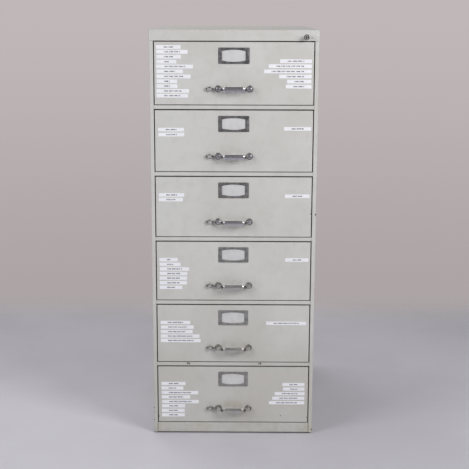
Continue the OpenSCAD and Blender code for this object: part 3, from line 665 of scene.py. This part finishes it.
def thumb_latch(n):
    """Dished button with a thumb pad and a waisted neck, and the bar inside the drawer front."""
    node = f"drawer_{n}_latch"
    lo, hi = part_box(node)
    middle = middle_of(node)
    button = button_foot(n)
    shape = Shape()
    shape.lathe(button, BUTTON_PROFILE)

    def at(x, out):
        return Vector((x, FACE_Y - out, middle.z))

    slim = 0.5 * MM
    pad = button.x - PAD_REACH
    neck_mid = (button.x + hi.x) / 2
    shape.bar([
        (at(pad + NECK_ROOT, NECK_OUT), NECK_T, NECK_H, NECK_CORNER),
        (at(button.x - NECK_WAIST_X, NECK_OUT), NECK_T, NECK_WAIST_H, NECK_CORNER),
        (at(button.x, NECK_OUT), NECK_T, NECK_H, NECK_CORNER),
        (at(neck_mid - NECK_WAIST_HALF, NECK_OUT), NECK_T, NECK_WAIST_H, NECK_CORNER),
        (at(neck_mid + NECK_WAIST_HALF, NECK_OUT), NECK_T, NECK_WAIST_H, NECK_CORNER),
        (at(hi.x - NECK_TIP, NECK_OUT), NECK_T, NECK_H, NECK_CORNER),
        (at(hi.x, NECK_OUT), NECK_T - slim, NECK_H - slim, slim),
    ], "X")
    pad_mid, pad_depth = (PAD_OUT + PAD_BACK) / 2, PAD_OUT - PAD_BACK
    shape.bar([
        (at(pad, pad_mid), pad_depth - slim, PAD_H - slim, 3 * slim),
        (at(pad + slim, pad_mid), pad_depth, PAD_H, 4 * slim),
        (at(pad + PAD_T, pad_mid), pad_depth, PAD_H, 4 * slim),
    ], "X")
    shape.bar([
        (at(button.x, STEM_OUT), STEM_W, STEM_H, slim),
        (at(button.x, -BAR_DEPTH), STEM_W, STEM_H, slim),
    ], "Y")
    shape.bar([
        (at(lo.x, -BAR_DEPTH), BAR_T - slim, BAR_H - slim, slim),
        (at(lo.x + slim, -BAR_DEPTH), BAR_T, BAR_H, slim),
        (at(button.x + STEM_W / 2, -BAR_DEPTH), BAR_T, BAR_H, slim),
    ], "X")
    piece(shape, f"drawer_{n}_thumb_latch", f"drawer_{n}_latch", LATCH_METAL, node)


def card_frame(n):
    """Pressed label frame: sloping ends, a bowed window with a rolled lip, a pocket and rivets."""
    node = f"drawer_{n}_label_frame"
    lo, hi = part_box(node)
    centre = middle_of(node)
    width, height = hi.x - lo.x, hi.z - lo.z

    def ring(w, h, corner, out, bow=0.0):
        return [centre + Vector((x, -out, z)) for x, z in rounded(w, h, corner, bow)]

    lip, roll = FRAME_LIP, FRAME_ROLL
    flat_w, flat_h = width - 2 * FRAME_RIM_W, height - FRAME_RIM_H
    pocket_w, pocket_h = WINDOW_W + 2 * POCKET_EDGE, WINDOW_END_H + 2 * WINDOW_BOW + 2 * POCKET_EDGE
    shape = Shape()
    shape.loft([
        ring(width, height, FRAME_CORNER, 0.0),
        ring(width, height, FRAME_CORNER, FRAME_EDGE_T),
        ring(width - roll, height - roll / 2, FRAME_CORNER, FRAME_STEP_T),
        ring(flat_w + 2 * MM, flat_h + roll, FRAME_CORNER, FRAME_T - FRAME_SHOULDER),
        ring(flat_w, flat_h, FRAME_CORNER, FRAME_T),
        ring(WINDOW_W + 2 * lip, WINDOW_END_H + 2 * lip, WINDOW_CORNER + lip, FRAME_T, WINDOW_BOW),
        ring(WINDOW_W + roll, WINDOW_END_H + roll, WINDOW_CORNER, FRAME_T - LIP_TOP, WINDOW_BOW),
        ring(WINDOW_W, WINDOW_END_H, WINDOW_CORNER, FRAME_T - LIP_DEEP, WINDOW_BOW),
        ring(WINDOW_W, WINDOW_END_H, WINDOW_CORNER, POCKET_D, WINDOW_BOW),
        ring(pocket_w, pocket_h, WINDOW_CORNER, POCKET_D),
        ring(pocket_w, pocket_h, WINDOW_CORNER, 0.0),
    ], loop=True)
    for x in (-RIVET_X, RIVET_X):
        for z in (-RIVET_Z, RIVET_Z):
            shape.lathe(centre + Vector((x, 0, z)), RIVET_PROFILE, 20)
    piece(shape, f"drawer_{n}_card_frame", f"drawer_{n}", FRAME_METAL, node)
    card = Shape()
    card.bar([
        (centre + Vector((0, -CARD_GAP, 0)), CARD_W, CARD_H, CARD_CORNER),
        (centre + Vector((0, -CARD_GAP - CARD_T, 0)), CARD_W, CARD_H, CARD_CORNER),
    ], "Y")
    piece(card, f"drawer_{n}_card", f"drawer_{n}", CARD)


def numbers(drawer, strip, count):
    """A run of plain rising numbers, cut to about count characters."""
    value, text = drawer * DRAWER_NUMBER + strip * STRIP_NUMBER, ""
    while len(text) < count:
        text += f"{value} "
        value += NUMBER_STEP
    return text[:count].strip()


def print_line(shape, text, left, right, centre_z, y):
    """Adds a line of thin raised print between two points of a strip."""
    PRINTER.data.body = text
    bpy.context.view_layer.update()
    graph = bpy.context.evaluated_depsgraph_get()
    mesh = bpy.data.meshes.new_from_object(PRINTER.evaluated_get(graph), depsgraph=graph)
    xs = [v.co.x for v in mesh.vertices]
    ys = [v.co.y for v in mesh.vertices]
    low_x, low_y = min(xs), min(ys)
    wide = (right - left) / (max(xs) - low_x)
    tall = PRINT_H * MM / (max(ys) - low_y)
    foot_z = centre_z - PRINT_H * MM / 2
    points = [
        Vector((left + (v.co.x - low_x) * wide, y - v.co.z, foot_z + (v.co.y - low_y) * tall))
        for v in mesh.vertices
    ]
    shape.add(points, [list(face.vertices) for face in mesh.polygons])
    bpy.data.meshes.remove(mesh)


def strips(n, side, top, pitch, inset, widths):
    """One list of paper strips, slightly askew and lifting at their ends, with its print."""
    lo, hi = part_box(f"drawer_{n}_front")
    chance = random.Random(f"{n} {side}")
    paper_shape, print_shape = Shape(), Shape()
    half = STRIP_H / 2 * MM
    for k, width in enumerate(widths):
        width = width * MM
        left = lo.x + inset * MM if side == "left" else hi.x - inset * MM - width
        left += chance.uniform(-STRIP_SLIDE, STRIP_SLIDE) * MM
        z = hi.z - (top + STRIP_H / 2 + k * pitch + chance.uniform(-STRIP_SHIFT, STRIP_SHIFT)) * MM
        tilt = math.radians(chance.uniform(-STRIP_TILT, STRIP_TILT))
        lifts = [chance.uniform(0.0, STRIP_LIFT) * MM for end in range(2)]
        rings = []
        for u in STRIP_STATIONS:
            x = left + u * width
            mid = z + math.tan(tilt) * (u - 0.5) * width
            back = FACE_Y - lifts[0] * (1 - u) ** CURL - lifts[1] * u ** CURL
            front = back - STRIP_T * MM
            rings.append([
                Vector((x, back, mid - half)), Vector((x, back, mid + half)),
                Vector((x, front, mid + half)), Vector((x, front, mid - half)),
            ])
        paper_shape.loft(rings)
        start, end = left + STRIP_MARGIN * MM, left + width - STRIP_MARGIN * MM
        count = max(2, round((end - start) / MM / PRINT_PITCH))
        print_line(print_shape, numbers(n, k + 1, count), start, end, z, FACE_Y - (STRIP_T + PRINT_T) * MM)
    piece(paper_shape, f"drawer_{n}_{side}_labels", f"drawer_{n}", STRIP_PAPER, sharp=20)
    piece(print_shape, f"drawer_{n}_{side}_print", f"drawer_{n}", INK, sharp=20)


def lock():
    """Push lock: bevelled flange and barrel, plunger with its wedge, and the plug with a key slot."""
    lo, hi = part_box("lock_body")
    centre = Vector(((lo.x + hi.x) / 2, CAP_LO.y, (lo.z + hi.z) / 2))
    flange = Shape()
    flange.lathe(centre, LOCK_PROFILE, loop=True)
    piece(flange, "lock_flange", "cabinet", LOCK_METAL, "lock_body")

    plunger = Shape()
    plunger.lathe(centre, PLUNGER_PROFILE)
    half = WEDGE_W / 2
    wedge = ((0, -half), (WEDGE_L, -half), (0, WEDGE_L - half))
    plunger.loft([
        [centre + Vector((x, -WEDGE_Y + along, up)) for along, up in wedge] for x in (-half, half)
    ])
    piece(plunger, "lock_push_cylinder", "lock_plunger", LOCK_METAL, "lock_plunger")

    slot = rounded(KEY_W, KEY_H, KEY_CORNER)
    turns = [math.atan2(z, x) for x, z in slot]
    rings = [[centre + Vector((x, -out, z)) for x, z in slot] for out in (KEY_FLOOR, KEY_MOUTH)]
    rings += [
        [centre + Vector((r * math.cos(a), -out, r * math.sin(a))) * MM for a in turns]
        for r, out in PLUG_PROFILE
    ]
    plug = Shape()
    plug.loft(rings)
    piece(plug, "lock_key_plug", "lock_plug", PLUG_METAL, "lock_plug")


def spot_at(place, shift, radius):
    """A patch for Finish.spots, with its shift from a place and its radius in millimetres."""
    return (*(place / MM + Vector(shift)), radius)


# Chips and worn patches seen in the photograph: x, y, z and radius in millimetres
FACE_MM, CAP_MM, SIDE_MM = FACE_Y / MM, CAP_LO.y / MM, CASE_HI.x / MM
CASE_CHIPS = (
    (212, CAP_MM, 1147, 1.4), (231.5, FACE_MM, 658, 3.8), (-132, FACE_MM, 216, 3.2),
    (-127, FACE_MM, 215, 2.6), (74, FACE_MM, 215, 2.6), (79, FACE_MM, 216, 3.2),
    (-SIDE_MM, FACE_MM, 78, 3.0), (-SIDE_MM, FACE_MM, 66, 2.4), (-SIDE_MM, FACE_MM, 41, 2.6),
    (SIDE_MM, FACE_MM, 12, 4.0),
)
CASE_STAINS = ((-221, FACE_MM, 20, 16), (221, FACE_MM, 16, 18), (-90, FACE_MM, 24, 30))
FRONT_CHIPS = (
    (217, FACE_MM, 660, 1.8), (218.5, FACE_MM, 669, 1.5), (-218, FACE_MM, 52, 2.0), (216, FACE_MM, 50, 1.6),
    (139, FACE_MM, 55, 1.8),
)
FRONT_STAINS = ((-18, FACE_MM, 90, 12), (2, FACE_MM, 91, 13), (18, FACE_MM, 89, 10))

STRIP_PAPER = paper("label_paper", colour(249, 249, 254), colour(242, 242, 248), colour(214, 208, 198))
CARD = paper("card_paper", colour(214, 214, 215), colour(205, 204, 203), colour(180, 172, 158))
INK = ink("print_ink")
NECKS = [
    spot_at(middle_of(f"drawer_{n}_handle"), (x, -NECK_SPOT_OUT, 0), NECK_SPOT_R)
    for n in DRAWERS for x in (-NECK_SPOT_X, NECK_SPOT_X)
]
NICKEL = nickel(
    "worn_nickel", colour(206, 206, 212), colour(186, 185, 191), colour(146, 141, 137), 0.24,
    floor_reflection_tint=colour(204, 201, 193), soil_and_shade_tones=(colour(136, 135, 134), colour(126, 124, 120)), painted_shade_spots=NECKS,
)
THUMBED = [spot_at(button_foot(n), (0, -THUMB_SPOT_OUT, 0), THUMB_SPOT_R) for n in DRAWERS]
LATCH_METAL = nickel(
    "latch_plate", colour(160, 159, 160), colour(134, 132, 132), colour(104, 101, 99), 0.3,
    floor_reflection_tint=colour(150, 148, 142), soil_and_shade_tones=(colour(126, 125, 124), colour(126, 124, 120)), thumbed=THUMBED,
)
FRAME_METAL = nickel(
    "dull_plate", colour(175, 176, 179), colour(158, 158, 161), colour(128, 124, 120), 0.3,
    floor_reflection_tint=colour(192, 192, 190), soil_and_shade_tones=(colour(103, 102, 103), colour(166, 165, 163)),
)
LOCK_METAL = nickel(
    "lock_plate", colour(206, 206, 207), colour(184, 184, 185), colour(146, 142, 137), 0.48,
    floor_reflection_tint=colour(196, 195, 192), soil_and_shade_tones=(colour(136, 135, 134), colour(136, 134, 130)),
)
PLUG_METAL = nickel(
    "plug_satin", colour(238, 238, 238), colour(222, 222, 221), colour(188, 184, 178), 0.7,
    floor_reflection_tint=colour(222, 222, 221), soil_and_shade_tones=(colour(136, 135, 134), colour(136, 134, 130)),
)
SLOT_FINISHES = {
    # The gap tones are painted shade in the drawer gaps and along the plinth's foot, with dirt in the
    # plinth's seams
    "case_paint": enamel(
        "case_enamel", case_edges, CASE_CHIPS, CASE_STAINS,
        gap=(0.3 * MM, 30 * MM), gap_tone=colour(38, 35, 33), dirt=foot_grime,
    ),
    "front_paint": enamel(
        "front_enamel", front_edges, FRONT_CHIPS, FRONT_STAINS,
        gap=(0.3 * MM, 16 * MM), gap_tone=colour(74, 71, 67), dirt=pull_grime,
    ),
    "inner_paint": plain_enamel("inner_primer", colour(160, 158, 152), colour(146, 143, 136)),
    "tray_paint": plain_enamel("tray_enamel", colour(170, 168, 161), colour(158, 155, 148)),
    "slide_steel": rolled_steel("slide_zinc", colour(190, 190, 188), colour(168, 168, 167)),
    "follower_steel": rolled_steel("follower_sheet", colour(182, 182, 180), colour(160, 160, 158)),
    "lock_metal": LOCK_METAL,
    "handle_metal": NICKEL,
    "label_metal": FRAME_METAL,
}
for subpart in frame["record"]["subparts"]:
    for material_slot in frame["nodes"][subpart["node"]].material_slots:
        material_slot.material = SLOT_FINISHES[subpart["material_slot"]]

PRINTER = bpy.data.objects.new("printer", bpy.data.curves.new("printer", "FONT"))
PRINTER.data.extrude = PRINT_T * MM
PRINTER.data.resolution_u = 2
PRINTER.data.offset = PRINT_BOLD
bpy.context.scene.collection.objects.link(PRINTER)
for drawer in DRAWERS:
    pull(drawer)
    thumb_latch(drawer)
    card_frame(drawer)
    strips(drawer, "left", *LEFT_STRIPS[drawer])
    strips(drawer, "right", *RIGHT_STRIPS[drawer])
bpy.data.objects.remove(PRINTER)
lock()

# Stage: a pale floor that fades into the backdrop, soft lights and the camera
FLOOR_BACK, FLOOR_FRONT, FLOOR_SIDE, BACK_FADE, FAR_FADE = 1.25, -9.0, 6.0, 0.5, 4.0
BACKDROP_HIGH, BACKDROP_LOW = colour(191, 183, 184), colour(172, 164, 164)
AMBIENT = (0.21, 0.21, 0.215, 1.0)
CEILING, FRONT_SIDE, SIDES = colour(86, 84, 88), colour(129, 126, 129), colour(48, 47, 50)

# Where one tone fades into the next, as parts of the direction looked in
WALL_RISE, TO_FRONT, TO_CEILING = (-0.3, 0.02), (0.3, -0.9), (0.04, 0.5)
TO_RIGHT, TO_LEFT = (0.45, 0.9), (-0.45, -0.9)

# Lamps: name, place, target, size and watts
LAMPS = (
    ("key_light", (1.75, -1.9, 1.85), (0, FACE_Y, 1.2), (1.1, 1.1), 40.5),
    ("fill_light", (-2.3, -1.9, 1.85), (0, FACE_Y, 1.3), (1.5, 1.5), 37),
    ("top_light", (-0.7, 1.1, 3.0), (-0.4, 0.9, 0), (1.6, 1.6), 25),
)


def floor():
    """The floor that the cabinet stands on, which is part of the stage only."""
    mesh = bpy.data.meshes.new("floor")
    x, y0, y1 = FLOOR_SIDE, FLOOR_FRONT, FLOOR_BACK
    mesh.from_pydata([(-x, y0, 0), (x, y0, 0), (x, y1, 0), (-x, y1, 0)], [], [(0, 1, 2, 3)])
    mesh.materials.append(floor_finish("studio_floor"))
    made = bpy.data.objects.new("floor", mesh)
    bpy.context.scene.collection.objects.link(made)


def softbox(name, place, target, size, watts):
    """A rectangular lamp that points at a target."""
    lamp = bpy.data.lights.new(name, "AREA")
    lamp.shape = "RECTANGLE"
    lamp.size, lamp.size_y = size
    lamp.energy = watts
    made = bpy.data.objects.new(name, lamp)
    made.location = place
    made.rotation_euler = (Vector(target) - Vector(place)).to_track_quat("-Z", "Y").to_euler()
    bpy.context.scene.collection.objects.link(made)


def world():
    """Even ambient light, a plain backdrop for the camera, and a dim room that shiny metal shows."""
    made = bpy.data.worlds.new("studio")
    bpy.context.scene.world = made
    made.use_nodes = True
    tree = made.node_tree
    tree.nodes.clear()

    def add(kind, **settings):
        node = tree.nodes.new(kind)
        for key, value in settings.items():
            setattr(node, key, value)
        return node

    path = add("ShaderNodeLightPath")
    seen = add("ShaderNodeMath", operation="MAXIMUM")
    tree.links.new(path.outputs["Is Camera Ray"], seen.inputs[0])
    shiny = add("ShaderNodeMath", operation="MAXIMUM")
    tree.links.new(path.outputs["Is Glossy Ray"], shiny.inputs[0])
    tree.links.new(path.outputs["Is Transmission Ray"], shiny.inputs[1])
    tree.links.new(shiny.outputs[0], seen.inputs[1])
    coords = add("ShaderNodeTexCoord")
    split = add("ShaderNodeSeparateXYZ")
    tree.links.new(coords.outputs["Generated"], split.inputs[0])

    def fade(before, axis, start, end, after):
        """Turns from one colour to another as the direction's axis goes from start to end."""
        share = add("ShaderNodeMapRange", interpolation_type="SMOOTHSTEP")
        tree.links.new(split.outputs[axis], share.inputs["Value"])
        share.inputs["From Min"].default_value = start
        share.inputs["From Max"].default_value = end
        blended = add("ShaderNodeMix", data_type="RGBA")
        tree.links.new(share.outputs["Result"], blended.inputs[0])
        if isinstance(before, bpy.types.NodeSocket):
            tree.links.new(before, blended.inputs[6])
        else:
            blended.inputs[6].default_value = before
        blended.inputs[7].default_value = after
        return blended.outputs[2]

    wall = fade(BACKDROP_LOW, "Z", *WALL_RISE, BACKDROP_HIGH)
    room = fade(fade(wall, "Y", *TO_FRONT, FRONT_SIDE), "Z", *TO_CEILING, CEILING)
    room = fade(fade(room, "X", *TO_RIGHT, SIDES), "X", *TO_LEFT, SIDES)
    shown = add("ShaderNodeMix", data_type="RGBA")
    tree.links.new(path.outputs["Is Camera Ray"], shown.inputs[0])
    tree.links.new(room, shown.inputs[6])
    tree.links.new(wall, shown.inputs[7])
    light = add("ShaderNodeBackground")
    light.inputs["Color"].default_value = AMBIENT
    backdrop = add("ShaderNodeBackground")
    tree.links.new(shown.outputs[2], backdrop.inputs["Color"])
    blend = add("ShaderNodeMixShader")
    tree.links.new(seen.outputs[0], blend.inputs[0])
    tree.links.new(light.outputs[0], blend.inputs[1])
    tree.links.new(backdrop.outputs[0], blend.inputs[2])
    output = add("ShaderNodeOutputWorld")
    tree.links.new(blend.outputs[0], output.inputs["Surface"])


def camera():
    """The photograph's camera."""
    data = bpy.data.cameras.new("camera")
    data.lens, data.sensor_width = LENS_MM, SENSOR_MM
    made = bpy.data.objects.new("camera", data)
    aim = (
        Matrix.Rotation(math.radians(CAMERA_LEFT), 4, "Z")
        @ Matrix.Rotation(math.radians(90 - CAMERA_DOWN), 4, "X")
        @ Matrix.Rotation(math.radians(CAMERA_ROLL), 4, "Z")
    )
    made.matrix_world = Matrix.Translation(CAMERA_AT) @ aim
    bpy.context.scene.collection.objects.link(made)
    bpy.context.scene.camera = made


floor()
world()
camera()
for lamp_settings in LAMPS:
    softbox(*lamp_settings)
bpy.context.scene.view_settings.view_transform = "Standard"
